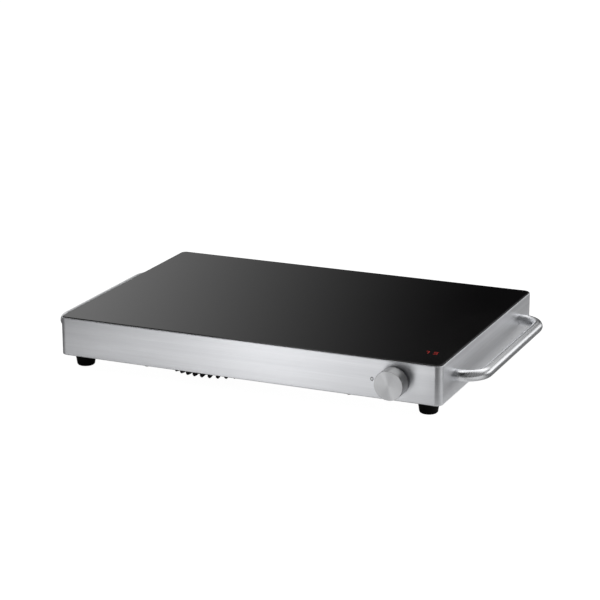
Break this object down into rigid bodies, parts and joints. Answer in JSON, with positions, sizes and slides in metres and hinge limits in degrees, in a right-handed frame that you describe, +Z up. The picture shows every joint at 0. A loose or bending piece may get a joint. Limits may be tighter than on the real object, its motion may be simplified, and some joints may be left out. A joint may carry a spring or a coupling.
{
  "type": "electric food warmer tray",
  "caption": "Flat electric warming tray: steel housing under a black glass plate, tube handles at both ends, a round control knob, rubber feet and a toothed air intake below.",
  "frame": {"origin": "on the table, under the middle of the whole object", "axes": "+X along the length to the end nearest the knob, +Y from the front with the knob to the rear with the inlet, +Z up"},
  "size_m": [0.6902, 0.4326, 0.0788],
  "materials": {
    "stainless": "brushed along its length",
    "galvanised": "matt zinc-coated sheet",
    "silicone": "matt silicone",
    "black_glass": "polished, opaque black from behind",
    "fastener_steel": "zinc-plated",
    "foot_rubber": "matt black rubber",
    "handle_steel": "finely ground along the tube",
    "knob_metal": "turned, with a spun face",
    "dark_steel": "blackened steel",
    "nickel": "nickel-plated",
    "black_plastic": "moulded, lightly textured",
    "circuit_board": "green solder mask",
    "display_plastic": "dark, with two lit digits",
    "nylon": "white nylon",
    "fan_plastic": "moulded black",
    "copper": "enamelled copper wire",
    "silicone_red": "matt silicone",
    "heat_sink_metal": "plain aluminium",
    "component_black": "moulded package",
    "component_blue": "moulded case",
    "inlet_plastic": "moulded black",
    "brass": "plain brass",
    "lead_brown": "brown insulation",
    "lead_blue": "blue insulation",
    "lead_green": "green insulation",
    "mica": "pressed mica",
    "ferrite": "dull sintered ceramic"
  },
  "bodies": {
    "tray": {"housing": "stainless", "glass_frame": "galvanised", "glass_seal": "silicone", "glass_top": "black_glass", "base_plate": "galvanised", "base_screws": "fastener_steel", "foot_front_left": "foot_rubber", "foot_rear_left": "foot_rubber", "foot_front_right": "foot_rubber", "foot_rear_right": "foot_rubber", "foot_screws": "fastener_steel", "foot_nuts": "fastener_steel", "handle_right": "handle_steel", "handle_left": "handle_steel", "handle_plugs": "galvanised", "handle_screws": "fastener_steel", "selector_body": "black_plastic", "selector_washer": "nickel", "selector_nut": "nickel", "control_bracket": "galvanised", "display_board": "circuit_board", "display_module": "display_plastic", "display_posts": "nylon", "intake_grille": "black_plastic", "fan_frame": "fan_plastic", "fan_stator": "copper", "fan_screws": "fastener_steel", "coil_tray": "galvanised", "coil_cushions": "silicone_red", "power_board": "circuit_board", "board_posts": "nylon", "heat_sink": "heat_sink_metal", "power_transistors": "component_black", "filter_capacitors": "component_blue", "filter_choke": "copper", "inlet_socket": "inlet_plastic", "inlet_pins": "nickel", "inlet_screws": "fastener_steel", "inlet_nuts": "fastener_steel", "earth_stud": "brass", "live_lead": "lead_brown", "neutral_lead": "lead_blue", "earth_lead": "lead_green", "mica_sheet_left": "mica", "coil_winding_left": "copper", "coil_carrier_left": "heat_sink_metal", "glass_sensor_left": "nylon", "ferrites_left": "ferrite", "mica_sheet_right": "mica", "coil_winding_right": "copper", "coil_carrier_right": "heat_sink_metal", "glass_sensor_right": "nylon", "ferrites_right": "ferrite"},
    "control_knob": {"knob": "knob_metal", "knob_screw": "dark_steel", "selector_shaft": "nickel"},
    "fan": {"fan_rotor": "fan_plastic"}
  },
  "joints": [
    {"name": "knob_turn", "type": "hinge", "parent": "tray", "child": "control_knob", "pos_m": [0.2315, -0.19175, 0.0489], "axis": [0, 1, 0], "range_deg": [0, 270]},
    {"name": "fan_spin", "type": "hinge", "parent": "tray", "child": "fan", "pos_m": [-0.078, -0.07925, 0.0197], "axis": [0, 0, 1], "continuous": true}
  ]
}
